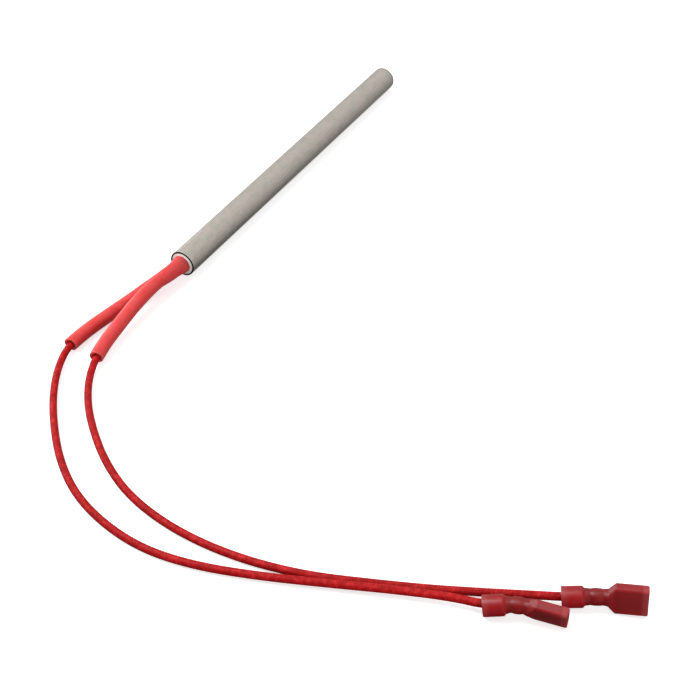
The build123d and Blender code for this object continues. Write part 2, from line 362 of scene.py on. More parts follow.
@dataclass(frozen=True)
class DrawnSteel(Finish):
    """Satin stainless steel with faint drawing lines, blotches and handling marks.

    The cut end of the tube is dark, with a painted highlight band behind it, and the tip's rounded rim has a
    painted dark reflection. Their places are along the sheath.
    """

    name: str = "drawn_steel"
    slot: str = "sheath_steel"
    green: Triple = (0.76, 0.715, 0.62)
    tone: Triple = (0.82, 0.76, 0.685)
    pink: Triple = (0.89, 0.785, 0.715)
    rubbed: Triple = (0.656, 0.608, 0.548)
    # bright is the colour of the painted highlight band behind the open end
    bright: Triple = (0.92, 0.85, 0.80)
    tip_shade_tone: Triple = (0.30, 0.28, 0.27)
    end_dark_tone: Triple = (0.012, 0.009, 0.008)
    lines: Grain = Grain(0.25, 2)
    line_stretch: Triple = (0.02, 1, 1)
    blots: Grain = Grain(3.4, 4, 0.65, 0.6)
    blot_levels: Triple = (0.38, 0.5, 0.62)
    marks: Grain = Grain(1.4, 5, 0.7, 1.5)
    mark_stretch: Triple = (0.35, 1, 1)
    mark_turn: Triple = (0.3, 0.5, 0.2)
    mark_levels: Pair = (0.62, 0.72)
    mark_share: float = 0.35
    cut_end: Pair = (0.2, 0.24)
    highlight_end: Pair = (0.45, 0.7)
    tip_shade_ring: Pair = (148.2, 149.5)
    tip_shade_share: float = 0.6
    roughness: Pair = (0.22, 0.34)
    mark_roughness: float = 0.3
    cut_roughness: float = 0.35
    mark_relief: float = 0.6
    relief: float = 0.006

    def material(self) -> bpy.types.Material:
        """Makes the material.

        Returns:
            The material.
        """
        steel = Shading(self.name, Metallic=1.0)
        solid = steel.place(Place.SOLID)
        along = steel.parts(solid)[0]
        lines = steel.noise(steel.place(Place.SOLID, self.line_stretch), self.lines)
        marks = steel.noise(steel.place(Place.SOLID, self.mark_stretch, self.mark_turn), self.marks)
        worn = steel.span(marks, self.mark_levels, (0, self.mark_share))
        # Painted highlight: a bright band just behind the open end, where the eased edge catches light.
        highlight = steel.fade(along, self.highlight_end, (1, 0))
        # Painted dark reflection on the tip's rounded rim, as a darker ring of the base colour.
        tip_shade = steel.fade(along, self.tip_shade_ring, (0, self.tip_shade_share))
        # Near-black over the cut face and the eased edges of the open end.
        cut = steel.fade(along, self.cut_end, (1, 0))
        tones = zip(self.blot_levels, (self.green, self.tone, self.pink))
        colour = steel.ramp(steel.noise(solid, self.blots), *tones)
        layers = ((worn, self.rubbed), (highlight, self.bright), (tip_shade, self.tip_shade_tone), (cut, self.end_dark_tone))
        for share, tone in layers:
            colour = steel.mix(share, colour, tone)
        rough = steel.add(steel.span(lines, SOFT, self.roughness), worn, self.mark_roughness)
        steel.set(Base_Color=colour, Roughness=steel.add(rough, cut, self.cut_roughness))
        steel.bump(steel.add(lines, marks, self.mark_relief), self.relief)
        return steel.material


@dataclass(frozen=True)
class Metal(Finish):
    """Bare or plated metal with fine grain and slightly dulled patches."""

    bright: Triple
    dark: Triple
    roughness: float = 0.3
    patch: float = 2.0
    patch_levels: Pair = (0.35, 0.6)
    dulling: float = 0.12
    grain: Grain = Grain(0.12)
    relief: float = 0.01

    def material(self) -> bpy.types.Material:
        """Makes the material.

        Returns:
            The material.
        """
        metal = Shading(self.name, Metallic=1.0)
        solid = metal.place(Place.SOLID)
        patches = metal.noise(solid, Grain(self.patch, octaves=4, rough=0.6, warp=0.5))
        metal.set(
            Base_Color=metal.ramp(patches, *zip(self.patch_levels, (self.dark, self.bright))),
            Roughness=metal.span(patches, SOFT, (self.roughness + self.dulling, self.roughness)),
        )
        metal.bump(metal.noise(solid, self.grain), self.relief)
        return metal.material


@dataclass(frozen=True)
class Ceramic(Finish):
    """Cast or fired ceramic: matt, with fine pores and faint stains."""

    light: Triple
    dark: Triple
    grain: float
    relief: float
    grain_levels: Pair = (0.3, 0.62)
    stains: Grain = Grain(2.4, 3, 0.6, 0.6)
    stain_levels: Pair = (0.3, 0.65)
    stain_share: float = 0.5
    roughness: Pair = (0.95, 0.8)

    def material(self) -> bpy.types.Material:
        """Makes the material.

        Returns:
            The material.
        """
        body = Shading(self.name, Specular_IOR_Level=0.3)
        solid = body.place(Place.SOLID)
        grain = body.noise(solid, Grain(self.grain, octaves=5, rough=0.7))
        stains = body.noise(solid, self.stains)
        tones = (self.dark, self.light)
        body.set(
            Base_Color=body.mix(
                self.stain_share,
                body.ramp(grain, *zip(self.grain_levels, tones)),
                body.ramp(stains, *zip(self.stain_levels, tones)),
            ),
            Roughness=body.span(grain, SOFT, self.roughness),
        )
        body.bump(body.add(grain, stains), self.relief)
        return body.material


@dataclass(frozen=True)
class Silicone(Finish):
    """Coral red silicone: a satin skin with soft clouds, fine grain and a little dust, and a paler cut end.

    Skin places run along the outside, over the cut end at their middle, and back through the bore.
    """

    name: str = "silicone_skin"
    slot: str = "silicone"
    tone: Triple = (0.74, 0.050, 0.050)
    pale: Triple = (0.80, 0.075, 0.074)
    cut: Triple = (0.82, 0.17, 0.15)
    dusty: Triple = (0.9, 0.4, 0.38)
    clouds: Grain = Grain(3.5, 4, 0.6, 0.3)
    cloud_levels: Pair = (0.35, 0.7)
    grain: Grain = Grain(0.35, 4, 0.6)
    dust: Grain = Grain(0.3, 2)
    dust_levels: Pair = (0.66, 0.74)
    dust_share: float = 0.22
    lip: Pair = (0.008, 0.016)
    lip_share: float = 0.7
    roughness: Pair = (0.36, 0.5)
    cloud_relief: float = 0.6
    relief: float = 0.012

    def material(self) -> bpy.types.Material:
        """Makes the material.

        Returns:
            The material.
        """
        skin = Shading(
            self.name,
            Subsurface_Weight=0.85,
            Subsurface_Radius=(1.0, 0.25, 0.2),
            Subsurface_Scale=0.003,
            Specular_IOR_Level=0.4,
        )
        solid = skin.place(Place.SOLID)
        clouds = skin.noise(solid, self.clouds)
        dust = skin.span(skin.noise(solid, self.dust), self.dust_levels, (0, self.dust_share))
        from_lip = skin.away(skin.parts(skin.place(Place.SKIN))[1], 0.5)
        lip = skin.span(from_lip, self.lip, (self.lip_share, 0))
        colour = skin.ramp(clouds, *zip(self.cloud_levels, (self.tone, self.pale)))
        for share, tone in ((lip, self.cut), (dust, self.dusty)):
            colour = skin.mix(share, colour, tone)
        skin.set(Base_Color=colour, Roughness=skin.span(clouds, SOFT, self.roughness))
        skin.bump(skin.add(skin.noise(solid, self.grain), clouds, self.cloud_relief), self.relief)
        return skin.material


@dataclass(frozen=True)
class Braid:
    """Two sets of ribbons round a lead, each over two and under two of the other set.

    Skin places run once round the lead and once along it.
    """

    ribbons: int = 8
    ribbon_pitch: float = 0.94
    over: int = 2
    under_height: float = 0.5

    def rows(self, length: float) -> float:
        """Ribbons that cross a line along a lead of that length."""
        return length / self.ribbon_pitch

    def relief(self, around: float, rows: float) -> float:
        """Height of the braid at a point.

        Args:
            around: share of a turn.
            rows: ribbons along the lead up to there.

        Returns:
            Its height from 0 to 1.
        """
        rising = around * self.ribbons + rows
        falling = around * self.ribbons - rows
        crowns = [sqrt(sin(pi * (turn - floor(turn)))) for turn in (rising, falling)]
        if (floor(rising) + floor(falling)) % (2 * self.over) >= self.over:
            crowns.reverse()
        return max(crowns[0], self.under_height * crowns[1])


@dataclass(frozen=True)
class LacqueredBraid(Finish):
    """Dark red lacquered glass braid, with its threads, painted shade in the gaps between ribbons, pale fuzz
    and a patchy shine.
    """

    length: float
    braid: Braid = Braid()
    threads: int = 5
    deep: Triple = (0.23, 0.001, 0.002)
    tone: Triple = (0.45, 0.004, 0.005)
    light: Triple = (0.77, 0.024, 0.028)
    patches: Grain = Grain(1.6, 5, 0.75, 0.3)
    patch_levels: Triple = (0.3, 0.5, 0.7)
    gap_shade_levels: Pair = (0.1, 0.7)
    gap_shade_share: float = 0.6
    fuzz: Grain = Grain(0.22, 3, 0.6)
    fuzz_levels: Pair = (0.55, 0.7)
    fuzz_share: float = 0.55
    shine_levels: Pair = (0.35, 0.65)
    roughness: Pair = (0.62, 0.42)
    crown_relief: float = 0.6
    thread_relief: float = 0.15
    relief: float = 0.05

    def ribbon(self, cloth: Shading) -> Socket:
        """Finds the ribbon that lies on top, as Braid.relief does.

        Args:
            cloth: the material's nodes.

        Returns:
            Place across the ribbons, where each whole number is a gap.
        """
        scale = (self.braid.ribbons, self.braid.rows(self.length), 1)
        around, along = cloth.parts(cloth.place(Place.SKIN, scale))[:2]
        rising = cloth.add(around, along)
        falling = cloth.math("SUBTRACT", around, along)
        crossing = cloth.add(cloth.math("FLOOR", rising), cloth.math("FLOOR", falling))
        over = self.braid.over
        under = cloth.math("GREATER_THAN", cloth.math("FLOORED_MODULO", crossing, 2 * over), over - 0.5)
        return cloth.either(under, rising, falling)

    def material(self) -> bpy.types.Material:
        """Makes the material.

        Returns:
            The material.
        """
        cloth = Shading(self.name, Coat_Weight=0.04, Coat_Roughness=0.3, Specular_IOR_Level=0.15)
        solid = cloth.place(Place.SOLID)
        patches = cloth.noise(solid, self.patches)
        ribbon = self.ribbon(cloth)
        crown = cloth.math("SINE", cloth.math("MULTIPLY", cloth.math("FRACT", ribbon), pi))
        thread = cloth.math("SINE", cloth.math("MULTIPLY", ribbon, tau * self.threads))
        # Painted shade: the gaps between ribbons are darkened towards the deep tone.
        gap_shade = cloth.span(crown, self.gap_shade_levels, (self.gap_shade_share, 0))
        fuzz = cloth.span(cloth.noise(solid, self.fuzz), self.fuzz_levels, (0, self.fuzz_share))
        colour = cloth.ramp(patches, *zip(self.patch_levels, (self.deep, self.tone, self.light)))
        for share, tone in ((gap_shade, self.deep), (fuzz, self.light)):
            colour = cloth.mix(share, colour, tone)
        cloth.set(Base_Color=colour, Roughness=cloth.span(patches, self.shine_levels, self.roughness))
        crowns = cloth.math("MULTIPLY", crown, self.crown_relief)
        cloth.bump(cloth.add(crowns, thread, self.thread_relief), self.relief)
        return cloth.material


@dataclass(frozen=True)
class Zone:
    """Stretch of a connector's cover with a colour of its own, between two depths."""

    start: float
    end: float
    tone: Triple


@dataclass(frozen=True)
class Nylon(Finish):
    """Translucent red nylon moulding, with painted shade over the metal inside it and painted lighter where
    nothing backs it.

    Skin places run across the connector and along its depth, in metres.
    """

    name: str = "moulded_nylon"
    slot: str = "red_nylon"
    entry: Zone = Zone(0.0, 1.0, (0.37, 0.026, 0.031))
    funnel: Zone = Zone(2.0, 5.8, (0.35, 0.003, 0.007))
    neck: Zone = Zone(6.6, 12.0, (0.25, 0.002, 0.003))
    heel: Zone = Zone(13.2, 13.2, (0.30, 0.004, 0.007))
    box: Zone = Zone(17.5, 20.7, (0.35, 0.012, 0.015))
    rim: Zone = Zone(21.4, COVER_LENGTH, (0.44, 0.048, 0.053))
    shade: Triple = (0.68, 0.68, 0.68)
    clouds: Grain = Grain(4)
    cloud_levels: Pair = (0.35, 0.65)
    cloud_share: float = 0.3
    rail: float = 2.5
    rail_edge: Pair = (0.2, 0.5)
    rail_share: float = 0.2
    backing_start: Pair = (13.2, 15.0)
    backing_edge: Pair = (3.1, 3.8)
    backing_share: float = 0.5
    ripples: Grain = Grain(1.2)
    roughness: Pair = (0.34, 0.44)
    relief: float = 0.008

    def metal_behind(self, shell: Shading, across: Socket, depth: Socket) -> Socket:
        """Painted shade of the receptacle's strip and rails through the cover.

        Args:
            shell: the material's nodes.
            across: place across the connector.
            depth: place along it.

        Returns:
            How much of the shade shows.
        """
        aside = shell.away(across)
        rails = shell.fade(shell.away(aside, self.rail * MM), self.rail_edge, (0, self.rail_share))
        backed = shell.fade(depth, self.backing_start, (0, self.backing_share))
        return shell.add(rails, backed, shell.fade(aside, self.backing_edge, (1, 0)))

    def material(self) -> bpy.types.Material:
        """Makes the material.

        Returns:
            The material.
        """
        shell = Shading(
            self.name,
            IOR=1.53,
            Specular_IOR_Level=0.5,
            Subsurface_Weight=0.5,
            Subsurface_Radius=(1.0, 0.12, 0.12),
            Subsurface_Scale=0.002,
        )
        across, depth = shell.parts(shell.place(Place.SKIN))[:2]
        zones = (self.entry, self.funnel, self.neck, self.heel, self.box, self.rim)
        # The zone tones paint the shade of the metal inside and the lighter stretches where light passes
        # through the nylon.
        stops = {(at / COVER_LENGTH, zone.tone) for zone in zones for at in (zone.start, zone.end)}
        colour = shell.ramp(shell.fade(depth, (0, COVER_LENGTH)), *sorted(stops))
        solid = shell.place(Place.SOLID)
        clouds = shell.span(shell.noise(solid, self.clouds), self.cloud_levels, (self.cloud_share, 0))
        ripples = shell.noise(solid, self.ripples)
        darker = shell.add(clouds, self.metal_behind(shell, across, depth))
        shell.set(
            Base_Color=shell.mix(darker, colour, self.shade, "MULTIPLY"),
            Roughness=shell.span(ripples, SOFT, self.roughness),
        )
        shell.bump(ripples, self.relief)
        return shell.material


@dataclass(frozen=True)
class Paper:
    """Pale matt paper of the studio's floor, with a glow of its own."""

    name: str = "studio_floor"
    tone: Triple = (0.8, 0.8, 0.8)
    glow: float = 0.65

    def material(self) -> bpy.types.Material:
        """Makes the material.

        Returns:
            The material.
        """
        sheet = Shading(self.name, Specular_IOR_Level=0.1, Roughness=0.9, Emission_Strength=self.glow)
        sheet.set(Base_Color=self.tone, Emission_Color=(1, 1, 1))
        return sheet.material


# Meshes and lines


def kept(value: float, top: float = 1.0) -> float:
    """A value kept between 0 and a top."""
    return min(max(value, 0.0), top)


def sign(value: float) -> int:
    """Sign of a value, which is 0 where the value is as good as 0."""
    return (value > 1e-6) - (value < -1e-6)


def eased(radius: float, angles: Iterable[float]) -> list[Pair]:
    """Points of a rounded edge.

    Args:
        radius: its radius.
        angles: angles of its points in degrees, from 0 where it leaves the side to 90 where it meets the end.

    Returns:
        How far each point stands in from the end, and in from the side.
    """
    return [(radius * (1 - sin(radians(angle))), radius * (1 - cos(radians(angle)))) for angle in angles]


def as_piece(bm: bmesh.types.BMesh, name: str, sharp: float = 40.0) -> bpy.types.Object:
    """Turns a bmesh into an object with smooth faces and sharp edges.

    Args:
        bm: the bmesh, which is freed.
        name: name of the piece.
        sharp: angle in degrees from which an edge is sharp.

    Returns:
        The piece.
    """
    for face in bm.faces:
        face.smooth = True
    for edge in bm.edges:
        edge.smooth = len(edge.link_faces) == 2 and edge.calc_face_angle() < radians(sharp)
    mesh = bpy.data.meshes.new(name)
    bm.to_mesh(mesh)
    bm.free()
    piece = bpy.data.objects.new(name, mesh)
    bpy.context.scene.collection.objects.link(piece)
    return piece


def wrapped(around: int, along: int, place: Callable[[float, int], Vector]) -> bmesh.types.BMesh:
    """A skin of one grid that is bent round and closed where its edges meet.

    Args:
        around: faces round the skin.
        along: faces along it.
        place: gives a corner's place from its share of a turn and its row.

    Returns:
        The bmesh, with places on the skin from 0 to 1 both ways.
    """
    bm = bmesh.new()
    bm.loops.layers.uv.new("skin")
    bmesh.ops.create_grid(bm, x_segments=around, y_segments=along, size=0.5, calc_uvs=True)
    for corner in bm.verts:
        turn = round((corner.co.x + 0.5) * around) % around / around
        corner.co = place(turn, round((corner.co.y + 0.5) * along))
    bmesh.ops.remove_doubles(bm, verts=bm.verts, dist=WELD)
    bmesh.ops.recalc_face_normals(bm, faces=bm.faces)
    return bm


def close_ends(bm: bmesh.types.BMesh) -> list[bmesh.types.BMFace]:
    """Fills the open ends of a skin.

    Args:
        bm: the bmesh.

    Returns:
        The face in each end.
    """
    rims = [edge for edge in bm.edges if edge.is_boundary]
    return bmesh.ops.holes_fill(bm, edges=rims, sides=0)["faces"]


def turned(profile: Sequence[Pair], steps: int) -> bmesh.types.BMesh:
    """A solid turned round the X axis.

    Args:
        profile: corners (x, radius) of its section, closed on itself or by the axis.
        steps: faces round it.

    Returns:
        The bmesh.
    """
    bm = bmesh.new()
    corners = [bm.verts.new((x * MM, 0, radius * MM)) for x, radius in profile]
    edges = [bm.edges.new(pair) for pair in zip(corners, corners[1:])]
    if profile[0][1] or profile[-1][1]:
        edges.append(bm.edges.new((corners[-1], corners[0])))
    bmesh.ops.spin(
        bm, geom=corners + edges, cent=(0, 0, 0), axis=(1, 0, 0), angle=tau, steps=steps, use_merge=True
    )
    bmesh.ops.remove_doubles(bm, verts=bm.verts, dist=WELD)
    bmesh.ops.recalc_face_normals(bm, faces=bm.faces)
    return bm


class Ring(NamedTuple):
    """Plane across a line: its middle in metres, the line's direction, and an untwisted one across it."""

    middle: Vector
    way: Vector
    side: Vector

    def rim(self, angle: float, radius: float) -> Vector:
        """Point of a circle round the line.

        Args:
            angle: angle from the side direction, in radians.
            radius: the circle's radius.

        Returns:
            The point in metres.
        """
        reach = self.side * cos(angle) + self.way.cross(self.side) * sin(angle)
        return self.middle + reach * (radius * MM)


class Centreline:
    """The smooth line of a route, with a plane across it at any distance along it."""

    def __init__(self, route: Sequence[Triple], fineness: int = 48) -> None:
        """Reads the line of a route's NURBS spline.

        Args:
            route: the spline's control points.
            fineness: points that are read per control point.
        """
        curve = bpy.data.curves.new("route", "CURVE")
        curve.dimensions = "3D"
        spline = curve.splines.new("NURBS")
        spline.points.add(len(route) - 1)
        for point, corner in zip(spline.points, route):
            point.co = (*(MM * part for part in corner), 1)
        spline.order_u = 3
        spline.use_endpoint_u = True
        spline.resolution_u = fineness
        holder = bpy.data.objects.new("route", curve)
        read = bpy.data.meshes.new_from_object(holder)
        self.points = [vertex.co.copy() for vertex in read.vertices]
        bpy.data.meshes.remove(read)
        bpy.data.curves.remove(curve)
        self.measure()

    def measure(self) -> None:
        """Works out distances along the line, and its directions."""
        self.arcs = [0.0]
        for before, point in zip(self.points, self.points[1:]):
            self.arcs.append(self.arcs[-1] + (point - before).length / MM)
        self.length = self.arcs[-1]
        befores = [self.points[0], *self.points[:-1]]
        afters = [*self.points[1:], self.points[-1]]
        self.ways = [(after - before).normalized() for before, after in zip(befores, afters)]
        side = self.ways[0].cross(Vector((0, 0, 1))).normalized()
        self.sides = []
        for way in self.ways:
            side = (side - way * side.dot(way)).normalized()
            self.sides.append(side)

    def at(self, arc: float) -> Ring:
        """Finds the plane at a distance along the line.

        Args:
            arc: the distance.

        Returns:
            The plane.
        """
        arc = kept(arc, self.length)
        i = min(bisect_right(self.arcs, arc), len(self.arcs) - 1)
        share = (arc - self.arcs[i - 1]) / (self.arcs[i] - self.arcs[i - 1])
        lists = (self.points, self.ways, self.sides)
        return Ring(*(values[i - 1].lerp(values[i], share) for values in lists))

    def rings(self, step: float) -> list[Ring]:
        """Planes from end to end, evenly spaced and no further apart than a step."""
        steps = ceil(self.length / step)
        return [self.at(self.length * i / steps) for i in range(steps + 1)]


# Pieces of the igniter


class Side(Enum):
    """The two leads, by the side of the pair's bend that each runs on.

    The values say to which side of the sheath's axis a lead's seat lies.
    """

    INNER = 1
    OUTER = -1

    def piece(self, kind: str) -> str:
        """Name of a piece on this lead's branch."""
        return f"{self.name.lower()}_{kind}"


@lru_cache(maxsize=None)
def material_of(finish: Finish) -> bpy.types.Material:
    """Material of a finish, made once."""
    return finish.material()


def dress(piece: bpy.types.Object, finish: Finish, *nodes: str) -> bpy.types.Object:
    """Gives a piece its finish, and a new piece its place on the frame.

    Args:
        piece: a new piece, or the object of a CAD node.
        finish: its finish.
        nodes: CAD nodes that a new piece stands for.

    Returns:
        The piece.
    """
    piece.data.materials.clear()
    piece.data.materials.append(material_of(finish))
    if "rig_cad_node" not in piece:
        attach(piece, ROOT)
    if nodes:
        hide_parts(*nodes)
    log.info("%s: %d faces", piece.name, len(piece.data.polygons))
    return piece


@dataclass
class Sheath:
    """Steel tube with its welded tip."""

    radius: float = SHEATH_RADIUS
    wall: float = 0.5
    tube_length: float = 149.2
    length: float = 150.0
    edge: float = 0.1
    rings: Sequence[float] = (0.3, 1.0, 40.0, 80.0, 120.0, 148.9)
    weld_width: float = 0.03
    weld_depth: float = 0.04
    tip_round: float = 0.7
    dish_radius: float = 3.4
    dish_edge: float = 0.01
    dish_depth: float = 0.05
    spigot: float = 2.0
    spigot_chamfer: float = 0.2
    slip: float = 0.03
    steps: int = 128
    finish: DrawnSteel = DrawnSteel()

    def tube(self) -> bpy.types.Object:
        """Makes the tube, with eased edges at its open end.

        Returns:
            The tube.
        """
        bore = self.radius - self.wall
        ease = eased(self.edge, (0, 30, 60, 90))
        profile = [(x / 2, bore + drop / 2) for x, drop in ease]
        profile += [(x, self.radius - drop) for x, drop in reversed(ease)]
        profile += [(x, self.radius) for x in (*self.rings, self.tube_length - self.weld_width)]
        profile += [(self.tube_length, self.radius - self.weld_depth), (self.tube_length, bore)]
        profile.append((self.rings[0], bore))
        return as_piece(turned(profile, self.steps), "sheath_tube_steel")

    def tip(self) -> bpy.types.Object:
        """Makes the plug that closes the far end, with a rounded rim and a shallow dish.

        Returns:
            The plug.
        """
        start = self.tube_length
        back = start - self.spigot
        inner = self.radius - self.wall - self.slip
        profile = [(back, 0), (back, inner - self.spigot_chamfer), (back + self.spigot_chamfer, inner)]
        profile += [(start, inner), (start, self.radius - self.weld_depth)]
        profile.append((start + self.weld_width, self.radius))
        rim = eased(self.tip_round, range(0, 100, 10))
        profile += [(self.length - x, self.radius - drop) for x, drop in rim]
        profile += [(self.length - self.dish_edge, self.dish_radius), (self.length - self.dish_depth, 0)]
        return as_piece(turned(profile, self.steps), "sheath_tip_steel")

    def build(self) -> None:
        """Builds and dresses both pieces."""
        dress(self.tube(), self.finish, "sheath_tube")
        dress(self.tip(), self.finish, "tip_plug")


@dataclass
class Mouth:
    """Seats of both sleeves in the sheath's mouth, and the cement round them.

    The tilt of the seats is in degrees. Each pair of the roughness is the depth of a noise and how many of
    its blots there are in a metre.
    """

    tilt: float = 40.0
    seat_offset: float = 2.0
    oval_width: float = 5.382
    oval_height: float = 3.9
    bundle_width: float = 6.6
    bundle_height: float = 7.1
    parting: float = 0.05
    squareness: int = 9
    bore: float = 4.22
    recess: float = 0.49
    rim: float = 0.2
    rise: float = 0.52
    slope: float = 0.85
    roughness: Sequence[Pair] = ((0.07, 900.0), (0.03, 3100.0))
    around: int = 72
    cuts: int = 3
    finish: Ceramic = Ceramic("cast_cement", "seal_cement", (0.95, 0.90, 0.87), (0.80, 0.72, 0.67), 0.3, 0.05)

    def across(self) -> Vector:
        """Direction across both seats."""
        return Vector((0, cos(radians(self.tilt)), sin(radians(self.tilt))))

    def through(self) -> Vector:
        """Direction from the outer lead's seat to the inner lead's."""
        return Vector((0, -sin(radians(self.tilt)), cos(radians(self.tilt))))

    def seat(self, side: Side) -> Vector:
        """Middle of a lead's seat, in metres."""
        return self.through() * (side.value * self.seat_offset * MM)

    def gripped(self, turn: float) -> Pair:
        """Section of a sleeve where the cement grips it: half of the round bundle of both.

        Args:
            turn: share of a turn from the direction across both seats.

        Returns:
            Place from the seat's middle, across both seats and away from the other sleeve.
        """
        x, y = cos(tau * turn), sin(tau * turn)
        wide, high = self.bundle_width / 2, self.bundle_height / 2
        a = (x / wide) ** 2 + (y / high) ** 2
        b = self.seat_offset * y / high**2
        c = (self.seat_offset / high) ** 2 - 1
        reach = (sqrt(b * b - a * c) - b) / a
        if y < 0:
            flat = (self.seat_offset - self.parting) / -y
            reach = (reach**-self.squareness + flat**-self.squareness) ** (-1 / self.squareness)
        return x * reach, y * reach

    def outlines(self) -> list[list[Pair]]:
        """Outlines of the cement's front.

        Returns:
            Those of the bore and of both sleeves, each as places across and through the seats.
        """
        turns = [i / self.around for i in range(self.around)]
        made = [[(self.bore * cos(tau * turn), self.bore * sin(tau * turn)) for turn in turns]]
        for side in (Side.OUTER, Side.INNER):
            grips = map(self.gripped, turns)
            made.append([(x, side.value * (self.seat_offset + y)) for x, y in grips])
        return made

    def height(self, spot: Vector) -> float:
        """Place along X of the cement's rough front.

        Args:
            spot: a corner of the front, in metres.

        Returns:
            Its distance into the sheath, less than 0 where the cement stands out.
        """
        share = kept((self.bore - spot.length / MM) / self.slope)
        rough = sum(depth * solid_noise(spot * fineness) for depth, fineness in self.roughness)
        return self.rim - self.rise * sin(share * pi / 2) - rough

    def cement(self) -> bpy.types.Object:
        """Makes the front skin of the cement, which rises from the bore and climbs a little up the sleeves.

        Returns:
            The skin.
        """
        bm = bmesh.new()
        facing = Matrix((self.across(), self.through(), Vector((1, 0, 0)))).transposed()
        for outline in self.outlines():
            ring = bmesh.ops.create_circle(bm, segments=self.around, radius=self.bore * MM)["verts"]
            for corner, (x, y) in zip(ring, outline):
                corner.co = facing @ Vector((x, y, 0)) * MM
        bmesh.ops.triangle_fill(bm, edges=bm.edges, use_beauty=True)
        bmesh.ops.subdivide_edges(bm, edges=bm.edges, cuts=self.cuts, use_grid_fill=True)
        grown = bmesh.ops.extrude_face_region(bm, geom=bm.faces[:])["geom"]
        backs = [corner for corner in grown if isinstance(corner, bmesh.types.BMVert)]
        for corner in set(bm.verts) - set(backs):
            corner.co.x = self.height(corner.co) * MM
        bmesh.ops.translate(bm, verts=backs, vec=(self.recess * MM, 0, 0))
        bmesh.ops.recalc_face_normals(bm, faces=bm.faces)
        return as_piece(bm, "seal_front")

    def build(self) -> None:
        """Builds the front skin, and dresses the cement behind it."""
        dress(self.cement(), self.finish)
        dress(frame["nodes"]["end_seal"], self.finish)


class SleeveRow(NamedTuple):
    """Row of corners round a sleeve: its distance along the lead, its skin, and how far it is drawn in."""

    arc: float
    inside: bool
    drop: float


@dataclass
class Sleeve:
    """Silicone sleeve: an oval in the sheath's mouth that turns round further out, and cut square."""

    side: Side
    reach: float
    mouth: Mouth
    start: float = 1.5
    mouth_arc: float = 7.0
    neck: float = 2.6
    blend: float = 13.0
    width: float = 4.7
    bore: float = 2.7
    wall: float = 1.0
    end_bore: float = 3.2
    flare: float = 5.0
    lift: float = 0.22
    ease: float = 0.12
    around: int = 72
    step: float = 0.5
    finish: Silicone = Silicone()

    @property
    def end(self) -> float:
        """Distance of the cut end along the lead."""
        return self.mouth_arc + self.reach

    def rows(self) -> list[SleeveRow]:
        """Lists the rows along the outside, round the cut end and back through the bore.

        Returns:
            The rows, of which the last one meets the first.
        """
        steps = ceil((self.end - self.start) / self.step)
        arcs = [self.start + (self.end - self.start) * i / steps for i in range(steps)]
        rows = [SleeveRow(arc, False, 0.0) for arc in arcs]
        rows += [SleeveRow(self.end - x, False, drop) for x, drop in eased(self.ease, (0, 30, 60, 90))]
        rows += [SleeveRow(self.end - x, True, -drop) for x, drop in eased(self.ease, (90, 45, 0))]
        return rows + [SleeveRow(arc, True, 0.0) for arc in reversed(arcs[1:])]

    def loose(self, arc: float) -> float:
        """How far the sleeve has come loose of its lead, from 0 to 1 at the cut end."""
        return kept(1 - (self.end - arc) / self.flare) ** 2

    def section(self, row: SleeveRow, turn: float) -> Pair:
        """Section of the sleeve at a row.

        Args:
            row: the row.
            turn: share of a turn from the direction across both seats.

        Returns:
            Place from the lead's line, across both seats and through them.
        """
        share = kept((row.arc - self.mouth_arc) / self.blend) ** 2
        wide = self.mouth.oval_width + (self.width - self.mouth.oval_width) * share
        high = self.mouth.oval_height + (self.width - self.mouth.oval_height) * share
        if row.inside:
            slack = (self.end_bore - self.bore) * self.loose(row.arc)
            wide = max(wide - 2 * self.wall, self.bore) + slack
            high = self.bore + slack
        x = cos(tau * turn) * (wide / 2 - row.drop)
        y = sin(tau * turn) * (high / 2 - row.drop)
        if row.inside:
            return x, y
        grip = exp(-((max(row.arc - self.mouth_arc, 0.0) / self.neck) ** 2))
        held_x, held_y = self.mouth.gripped(self.side.value * turn)
        return x + (held_x - x) * grip, y + (self.side.value * held_y - y) * grip

    def corner(self, ring: Ring, row: SleeveRow, turn: float) -> Vector:
        """Corner of the sleeve's skin.

        Args:
            ring: plane across the lead at the row.
            row: the row.
            turn: share of a turn from the direction across both seats.

        Returns:
            The corner in metres.
        """
        across = self.mouth.across()
        across = (across - ring.way * across.dot(ring.way)).normalized()
        x, y = self.section(row, turn)
        reach = across * x + across.cross(ring.way) * y
        return ring.middle + (reach + Vector((0, 0, self.lift * self.loose(row.arc)))) * MM

    def build(self, line: Centreline) -> bpy.types.Object:
        """Builds the sleeve.

        Args:
            line: its lead's line.

        Returns:
            The piece.
        """
        rows = self.rows()

        def place(turn: float, index: int) -> Vector:
            """Corner of the skin at a share of a turn, in a row of that index."""
            row = rows[index % len(rows)]
            return self.corner(line.at(row.arc), row, turn)

        sleeve = as_piece(wrapped(self.around, len(rows), place), self.side.piece("sleeve_silicone"))
        return dress(sleeve, self.finish, self.side.piece("sleeve"))


